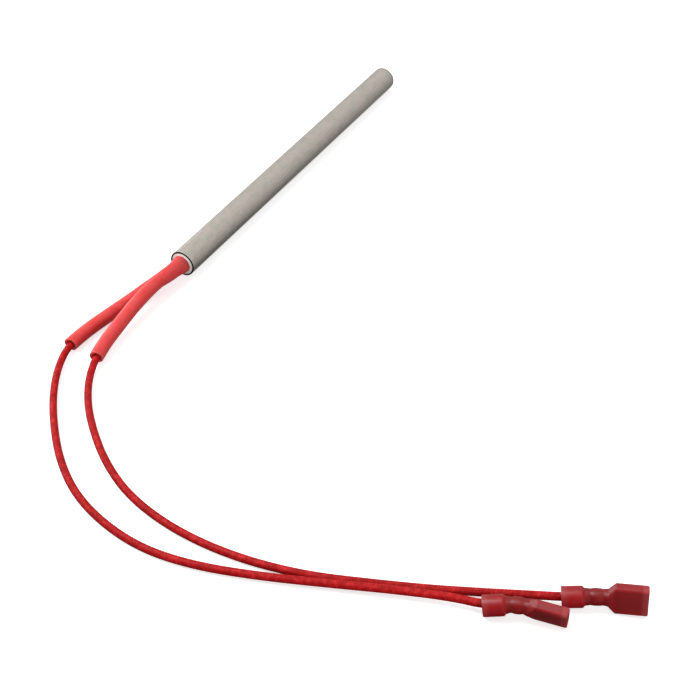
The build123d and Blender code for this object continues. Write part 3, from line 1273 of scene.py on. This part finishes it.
@dataclass
class Lead:
    """Braided insulation of one lead, with a hole for the strands in each end."""

    side: Side
    width: float = LEAD_WIDTH
    relief: float = 0.07
    core: float = 1.36
    core_depth: float = 1.0
    around: int = 40
    step: float = 0.19
    sharp: float = 60.0
    braid: Braid = Braid()

    def build(self, line: Centreline) -> tuple[bpy.types.Object, list[Vector]]:
        """Builds the lead.

        Args:
            line: its line.

        Returns:
            The piece, and the middles of its rings.
        """
        rings = line.rings(self.step)
        steps = len(rings) - 1
        count = self.braid.rows(line.length)

        def place(turn: float, row: int) -> Vector:
            """Corner of the braid at a share of a turn, in a row."""
            low = self.relief * (1 - self.braid.relief(turn, count * row / steps))
            return rings[row].rim(tau * turn, self.width / 2 - low)

        bm = wrapped(self.around, steps, place)
        ends = close_ends(bm)
        wall = (self.width - self.core) / 2
        bmesh.ops.inset_region(bm, faces=ends, thickness=wall * MM, use_even_offset=True)
        for end in ends:
            bmesh.ops.translate(bm, verts=end.verts, vec=end.normal * (-self.core_depth * MM))
        piece = as_piece(bm, self.side.piece("lead_braid"), self.sharp)
        finish = LacqueredBraid(self.side.piece("lead_braid"), "lead_braid", line.length, self.braid)
        return dress(piece, finish, self.side.piece("lead")), [ring.middle for ring in rings]


@dataclass(frozen=True)
class ConnectorPose:
    """Axis of a connector: straight through the funnel, bent through the neck, then straight again.

    The heading, pitch and roll of its flat part are in degrees.
    """

    route: Sequence[Triple]
    heading: float
    pitch: float
    roll: float
    insulation_depth: float = 7.3
    funnel_length: float = 6.0
    neck_length: float = 6.2

    @property
    def neck_end(self) -> float:
        """Depth of the neck's end."""
        return self.funnel_length + self.neck_length

    @property
    def funnel(self) -> Vector:
        """Direction of the funnel, which goes on as the lead ends."""
        return (Vector(self.route[-1]) - Vector(self.route[-2])).normalized()

    @property
    def flat(self) -> Vector:
        """Direction of the flat part."""
        heading, pitch = radians(self.heading), radians(self.pitch)
        return Vector((cos(pitch) * cos(heading), cos(pitch) * sin(heading), sin(pitch)))

    @property
    def wide(self) -> Vector:
        """Direction across the flat part."""
        level = Vector((0, 0, 1)).cross(self.flat).normalized()
        return level * cos(radians(self.roll)) + self.flat.cross(level) * sin(radians(self.roll))

    def at(self, depth: float) -> tuple[Vector, Vector, Vector]:
        """Finds the plane across the axis at a depth.

        Args:
            depth: depth from the funnel's mouth.

        Returns:
            Its middle, the direction of the width and that of the thickness.
        """
        funnel, flat = self.funnel, self.flat
        turn = funnel.angle(flat)
        aside = (flat - funnel * cos(turn)).normalized()
        angle = turn * kept(depth - self.funnel_length, self.neck_length) / self.neck_length
        middle = Vector(self.route[-1]) - funnel * self.insulation_depth
        middle += funnel * min(depth, self.funnel_length)
        middle += (funnel * sin(angle) + aside * (1 - cos(angle))) * (self.neck_length / turn)
        middle += flat * max(depth - self.neck_end, 0.0)
        way = funnel * cos(angle) + aside * sin(angle)
        wide = (self.wide - way * self.wide.dot(way)).normalized()
        return middle, wide, way.cross(wide)


@dataclass
class Conductor:
    """Twisted strands from the splice, through the insulation, to the connector's barrel."""

    side: Side
    root: float = 12.5
    end_depth: float = 11.7
    width: float = 1.3
    lobes: int = 8
    groove: float = 0.09
    lay: float = 16.0
    around: int = 48
    step: float = 0.6
    sharp: float = 60.0
    finish: Metal = Metal(
        "tinned_strands", "tinned_copper", (0.72, 0.68, 0.62), (0.55, 0.50, 0.44), 0.32, 0.5
    )

    def build(self, pose: ConnectorPose) -> bpy.types.Object:
        """Builds the strands.

        Args:
            pose: axis of the connector that they end in, with the lead's route.

        Returns:
            The piece.
        """
        seat = pose.route[0]
        line = Centreline([(self.root, *seat[1:]), *pose.route, tuple(pose.at(self.end_depth)[0])])
        rings = line.rings(self.step)
        steps = len(rings) - 1

        def place(turn: float, row: int) -> Vector:
            """Corner of the strands at a share of a turn, in a row.

            Args:
                turn: the share of a turn, among the strands.
                row: the row.

            Returns:
                The corner in metres.
            """
            low = self.groove * (1 - abs(cos(self.lobes / 2 * tau * turn)))
            angle = tau * (turn + line.length * row / steps / self.lay)
            return rings[row].rim(angle, self.width / 2 - low)

        bm = wrapped(self.around, steps, place)
        close_ends(bm)
        piece = as_piece(bm, self.side.piece("conductor_strands"), self.sharp)
        return dress(piece, self.finish, self.side.piece("conductor"))


@dataclass(frozen=True)
class Station:
    """Section of a connector's cover or of its hollow: a rounded rectangle at a depth."""

    depth: float
    width: float
    height: float
    corner: float

    def at(self, turn: float) -> Pair:
        """Point of the section.

        Args:
            turn: share of a turn from the middle of one side.

        Returns:
            Its place across the width and the thickness.
        """
        halves = ((self.width / 2, cos(tau * turn)), (self.height / 2, sin(tau * turn)))
        return tuple((half - self.corner) * sign(part) + self.corner * part for half, part in halves)


def round_station(depth: float, size: float) -> Station:
    """Round section."""
    return Station(depth, size, size, size / 2)


@dataclass
class Connector:
    """Insulated push-on connector: nylon cover round a rolled receptacle.

    Rows are pairs of a depth and a difference: how much narrower the outside is there, or how much wider the
    slot is. Those of the box start at the shoulder's end, and those of the lip and of the slot count back
    from the mouth. The funnel's bores are pairs of a depth and a width.
    """

    side: Side
    pose: ConnectorPose
    funnel: float = 5.9
    funnel_rows: Sequence[Pair] = (
        (0.0, 0.3), (0.02, 0.12), (0.08, 0.03), (0.16, 0.0), (0.4, 0.0), (3.0, 0.0), (5.2, 0.0), (5.4, 0.02),
        (5.6, 0.1), (5.75, 0.3), (5.9, 0.75),
    )
    funnel_bores: Sequence[Pair] = ((5.9, 3.34), (3.0, 4.2), (0.3, 4.92), (0.08, 5.02), (0.0, 5.2))
    neck: float = 4.7
    neck_step: float = 0.2
    neck_bore: float = 3.3
    neck_bore_depths: Sequence[float] = (12.0, 10.0, 8.0, 6.1)
    fillet: float = 0.25
    fillet_reach: float = 0.1
    crimps: Pair = (7.5, 11.0)
    crimp_depth: float = 0.35
    crimp_spread: float = 0.08
    crimp_reach: float = 0.7
    shoulder_end: float = 14.1
    shoulder_shares: Sequence[float] = (0.0, 0.06, 0.3, 0.6, 0.88, 0.95)
    mouth: float = COVER_LENGTH
    width: float = 8.8
    height: float = 3.1
    corner: float = 0.8
    box_rows: Sequence[Pair] = ((0.02, 0.04), (0.12, 0.0), (0.3, 0.0), (2.9, 0.0), (5.9, 0.0))
    lip_rows: Sequence[Pair] = ((0.55, 0.0), (0.35, 0.05), (0.18, 0.16), (0.06, 0.34), (0.0, 0.55))
    slot_width: float = 7.9
    slot_height: float = 2.2
    slot_corner: float = 0.12
    slot_rows: Sequence[Pair] = (
        (0.0, 0.2), (0.04, 0.06), (0.12, 0.0), (0.4, 0.0), (4.7, 0.0), (8.4, 0.0), (8.57, 0.0),
    )
    slot_shares: Sequence[float] = (0.97, 0.5, 0.03)
    around: int = 96
    sharp: float = 50.0
    cover: Nylon = Nylon()
    metal: Metal = Metal("tinned_brass", "tinned_brass", (0.78, 0.75, 0.69), (0.60, 0.56, 0.48), 0.22, 1.5)

    def shoulder(self, share: float, neck: float, box: Station) -> Station:
        """Section of the shoulder.

        Args:
            share: share of its length from the neck.
            neck: width of the neck, or of its bore.
            box: section of the flat part, or of its slot.

        Returns:
            The section.
        """
        return Station(
            self.pose.neck_end + (self.shoulder_end - self.pose.neck_end) * share,
            neck + (box.width - neck) * share,
            neck + (box.height - neck) * share,
            neck / 2 + (box.corner - neck / 2) * share,
        )

    def neck_station(self, depth: float) -> Station:
        """Section of the neck, with its dents where the barrel is crimped.

        Args:
            depth: depth of the section.

        Returns:
            The section.
        """
        dent = sum(exp(-(((depth - crimp) / self.crimp_reach) ** 2)) for crimp in self.crimps)
        size = self.neck + self.fillet * exp(-(depth - self.pose.funnel_length) / self.fillet_reach)
        wide = size - 2 * self.crimp_spread * dent
        high = size - 2 * self.crimp_depth * dent
        return Station(depth, wide, high, min(wide, high) / 2)

    def outside(self) -> list[Station]:
        """Lists the sections of the outside.

        Returns:
            The sections from the funnel's mouth to the slot's mouth.
        """
        made = [round_station(depth, self.funnel - drop) for depth, drop in self.funnel_rows]
        for i in range(round(self.pose.neck_length / self.neck_step)):
            made.append(self.neck_station(self.pose.funnel_length + self.neck_step * i))
        box = Station(self.shoulder_end, self.width, self.height, self.corner)
        made += [self.shoulder(share, self.neck, box) for share in self.shoulder_shares]
        rows = [(self.shoulder_end + past, drop) for past, drop in self.box_rows]
        rows += [(self.mouth - before, drop) for before, drop in self.lip_rows]
        made += [Station(depth, box.width - drop, box.height - drop, box.corner) for depth, drop in rows]
        return made

    def hollow(self) -> list[Station]:
        """Lists the sections of the hollow.

        Returns:
            The sections from the slot's mouth back to the funnel's mouth.
        """
        slot = Station(self.shoulder_end, self.slot_width, self.slot_height, self.slot_corner)
        made = [
            Station(self.mouth - before, slot.width + grow, slot.height + grow, slot.corner)
            for before, grow in self.slot_rows
        ]
        made += [self.shoulder(share, self.neck_bore, slot) for share in self.slot_shares]
        made += [round_station(depth, self.neck_bore) for depth in self.neck_bore_depths]
        return made + [round_station(depth, size) for depth, size in self.funnel_bores]

    def lay_skin(self, bm: bmesh.types.BMesh, stations: Sequence[Station]) -> None:
        """Makes places on the skin run across the connector and along its depth, in metres.

        Args:
            bm: the cover, with places from 0 to 1.
            stations: its sections.
        """
        skin = bm.loops.layers.uv["skin"]
        for loop in (loop for face in bm.faces for loop in face.loops):
            turn, row = loop[skin].uv
            station = stations[round(row * len(stations)) % len(stations)]
            loop[skin].uv = (station.at(turn)[0] * MM, station.depth * MM)

    def build(self) -> bpy.types.Object:
        """Builds the cover, and dresses the receptacle in it.

        Returns:
            The cover.
        """
        stations = self.outside() + self.hollow()

        def place(turn: float, row: int) -> Vector:
            """Corner of the cover at a share of a turn, in a row.

            Args:
                turn: the share of a turn.
                row: the row.

            Returns:
                The corner in metres.
            """
            station = stations[row % len(stations)]
            middle, wide, thick = self.pose.at(station.depth)
            x, y = station.at(turn)
            return (middle + wide * x + thick * y) * MM

        bm = wrapped(self.around, len(stations), place)
        self.lay_skin(bm, stations)
        cover = as_piece(bm, self.side.piece("housing_nylon"), self.sharp)
        dress(frame["nodes"][self.side.piece("receptacle")], self.metal)
        return dress(cover, self.cover, self.side.piece("housing"))


@dataclass
class Heater:
    """Sealed pieces inside the sheath, which keep their CAD shapes."""

    magnesia: Ceramic = Ceramic("magnesia", "magnesia", (0.88, 0.87, 0.83), (0.72, 0.70, 0.66), 0.5, 0.04)
    nickel: Metal = Metal("nickel", "nickel", (0.66, 0.64, 0.60), (0.48, 0.46, 0.42), 0.3)
    alloy: Metal = Metal("heating_alloy", "heating_alloy", (0.46, 0.45, 0.43), (0.25, 0.23, 0.22), 0.45, 0.8)

    def build(self) -> None:
        """Dresses the pieces."""
        for name in ("tip_spacer", "lead_end_cap", "ceramic_core", "magnesia_fill"):
            dress(frame["nodes"][name], self.magnesia)
        for name in ("inner_terminal_pin", "outer_terminal_pin", "inner_splice", "outer_splice"):
            dress(frame["nodes"][name], self.nickel)
        dress(frame["nodes"]["heating_coil"], self.alloy)


@dataclass
class Branch:
    """One lead from the cement to its connector, with all that is on it."""

    side: Side
    length: float
    sleeve_reach: float
    heading: float
    pitch: float
    roll: float
    route: Sequence[Triple]

    def build(self, mouth: Mouth) -> None:
        """Args:
            mouth: the sheath's mouth, which the lead comes out of.
        """
        line = Centreline(self.route)
        pose = ConnectorPose(self.route, self.heading, self.pitch, self.roll)
        lead, middles = Lead(self.side).build(line)
        sleeve = Sleeve(self.side, self.sleeve_reach, mouth).build(line)
        strands = Conductor(self.side).build(pose)
        cover = Connector(self.side, pose).build()
        tuple(mouth.seat(self.side))
        self.side.piece("receptacle")
        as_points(middles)


INNER = Branch(
    side=Side.INNER,
    length=259.5,
    sleeve_reach=53.4,
    heading=-71.0,
    pitch=4.4,
    roll=80.8,
    route=(
        (7.0, -1.2856, 1.5321), (-3.0, -1.2856, 1.5321), (-14.1, 0.5, 1.5),
        (-25.6, 0.4, 0.8), (-37.4, -0.7, -0.2), (-49.1, -1.8, -1.4),
        (-60.0, -5.6, -2.4), (-70.2, -12.6, -3.1), (-79.5, -22.2, -3.4),
        (-88.1, -33.4, -3.5), (-94.9, -46.2, -3.5), (-98.8, -60.7, -3.5),
        (-100.1, -76.1, -3.5), (-98.9, -91.9, -3.5), (-95.4, -107.6, -3.5),
        (-89.7, -122.7, -3.5), (-83.8, -137.7, -3.4), (-77.8, -151.8, -2.9),
        (-72.8, -163.5, -2.3), (-69.5, -172.1, -1.5), (-67.3, -177.1, -0.7),
    ),
)
OUTER = Branch(
    side=Side.OUTER,
    length=259.2,
    sleeve_reach=52.1,
    heading=-80.5,
    pitch=0.0,
    roll=110.6,
    route=(
        (7.0, 1.2856, -1.5321), (-3.0, 1.2856, -1.5321), (-12.9, 3.8, -1.9),
        (-22.9, 5.2, -2.1), (-32.9, 6.9, -2.2), (-43.0, 8.5, -2.2),
        (-53.2, 8.8, -2.3), (-63.6, 4.7, -2.8), (-73.9, -2.0, -3.1),
        (-84.1, -10.7, -3.4), (-93.9, -20.8, -3.5), (-102.2, -32.8, -3.5),
        (-107.5, -46.9, -3.5), (-109.8, -62.5, -3.5), (-107.8, -78.5, -3.3),
        (-102.8, -95.1, -3.0), (-96.4, -112.1, -2.7), (-89.7, -129.2, -2.3),
        (-84.3, -144.6, -1.9), (-82.4, -155.1, -1.35), (-80.1, -160.0, -0.45),
    ),
)


# Studio


@dataclass(frozen=True)
class Lamp:
    """Soft square lamp that is aimed at the origin, with its sizes in metres.

    It doesn't show in the picture itself, and shows in reflections only where it is glossy.
    """

    name: str
    way: Triple
    distance: float
    size: float
    power: float
    glossy: bool = True

    def build(self) -> None:
        """Hangs the lamp."""
        lamp = bpy.data.lights.new(self.name, "AREA")
        lamp.size = self.size
        lamp.energy = self.power
        holder = bpy.data.objects.new(self.name, lamp)
        holder.location = Vector(self.way).normalized() * self.distance
        holder.rotation_euler = (-holder.location).to_track_quat("-Z", "Y").to_euler()
        holder.visible_camera = False
        holder.visible_glossy = self.glossy
        bpy.context.scene.collection.objects.link(holder)


@dataclass
class Studio:
    """Pale floor that rises into a round wall, soft lights and the camera.

    The floor's sizes are in metres. The camera's place is in the igniter's millimetres, and its lens and
    sensor are in millimetres too.
    """

    floor_radius: float = 1.3
    floor_steps: int = 96
    cove: float = 0.5
    cove_steps: int = 10
    wall_height: float = 2.5
    lens: float = 66.99
    sensor: float = 36.0
    nearest: float = 0.01
    camera_at: Triple = (-288.83, -228.25, 273.94)
    camera_way: Triple = (0.6611, 0.3690, -0.6533)
    sky_way: Triple = (0.12, 0.28, 0.95)
    sky_steps: Sequence[Pair] = (
        (0.0, 0.02), (0.17, 0.13), (0.28, 0.28), (0.45, 0.38), (0.64, 0.48), (1.0, 0.62),
    )
    flag_way: Triple = (-0.92, 0.11, 0.38)
    flag_edges: Pair = (0.70, 0.93)
    flag_share: float = 0.2
    lamps: Sequence[Lamp] = (
        Lamp("key", (-0.15, 0.4, 0.9), 1.1, 0.55, 10.0),
        Lamp("rim", (0.25, 1.0, 0.1), 1.2, 0.9, 5.0),
        Lamp("fill", (-0.45, -0.9, 0.1), 1.0, 0.7, 4.0, glossy=False),
    )
    paper: Paper = Paper()

    def floor(self) -> None:
        """Lays the floor, which neither throws its own light at the igniter nor shades the lamps."""
        bm = bmesh.new()
        bmesh.ops.create_circle(bm, cap_ends=True, segments=self.floor_steps, radius=self.floor_radius)
        ring = bm.edges[:]
        angles = [radians(90 * (step + 1) / self.cove_steps) for step in range(self.cove_steps)]
        bends = [(self.cove * sin(angle), self.cove * (1 - cos(angle))) for angle in angles]
        for out, height in [*bends, (self.cove, self.wall_height)]:
            grown = bmesh.ops.extrude_edge_only(bm, edges=ring)["geom"]
            ring = [part for part in grown if isinstance(part, bmesh.types.BMEdge)]
            for corner in (part for part in grown if isinstance(part, bmesh.types.BMVert)):
                corner.co = Vector((*corner.co.xy.normalized() * (self.floor_radius + out), height))
        bmesh.ops.recalc_face_normals(bm, faces=bm.faces)
        bmesh.ops.translate(bm, verts=bm.verts, vec=(0, 0, -SHEATH_RADIUS * MM))
        sheet = as_piece(bm, "studio_floor")
        sheet.data.materials.append(self.paper.material())
        sheet.visible_diffuse = sheet.visible_glossy = sheet.visible_shadow = False

    def sky(self) -> None:
        """Lights all round: bright from above one side, dark from below the other, and dim behind a flag."""
        world = bpy.data.worlds.new("studio_sky")
        world.use_nodes = True
        nodes = NodeSet(world.node_tree)
        background = world.node_tree.nodes["Background"]
        way = nodes.node("TexCoord").outputs["Generated"]
        height = nodes.span(nodes.dot(way, self.sky_way), (-1, 1))
        light = nodes.ramp(height, *((at, (strength,) * 3) for at, strength in self.sky_steps))
        flag = nodes.span(nodes.dot(way, self.flag_way), self.flag_edges, (1, self.flag_share))
        nodes.feed(background.inputs["Color"], light)
        nodes.feed(background.inputs["Strength"], flag)
        bpy.context.scene.world = world

    def camera(self) -> None:
        """Places the camera."""
        lens = bpy.data.cameras.new("camera")
        lens.lens = self.lens
        lens.sensor_width = self.sensor
        lens.clip_start = self.nearest
        holder = bpy.data.objects.new("camera", lens)
        holder.location = Vector(self.camera_at) * MM
        holder.rotation_euler = Vector(self.camera_way).to_track_quat("-Z", "Y").to_euler()
        bpy.context.scene.collection.objects.link(holder)
        bpy.context.scene.camera = holder

    def build(self) -> None:
        """Builds the whole studio."""
        self.camera()
        self.floor()
        self.sky()
        for lamp in self.lamps:
            lamp.build()
        bpy.context.scene.view_settings.view_transform = "Standard"


def main() -> None:
    """Builds the igniter in its studio, piece by piece."""
    logging.basicConfig(level=logging.INFO, format="%(name)s %(message)s")
    Studio().build()
    mouth = Mouth()
    for branch in (INNER, OUTER):
        branch.build(mouth)
    Sheath().build()
    mouth.build()
    Heater().build()


if __name__ == "__main__":
    main()
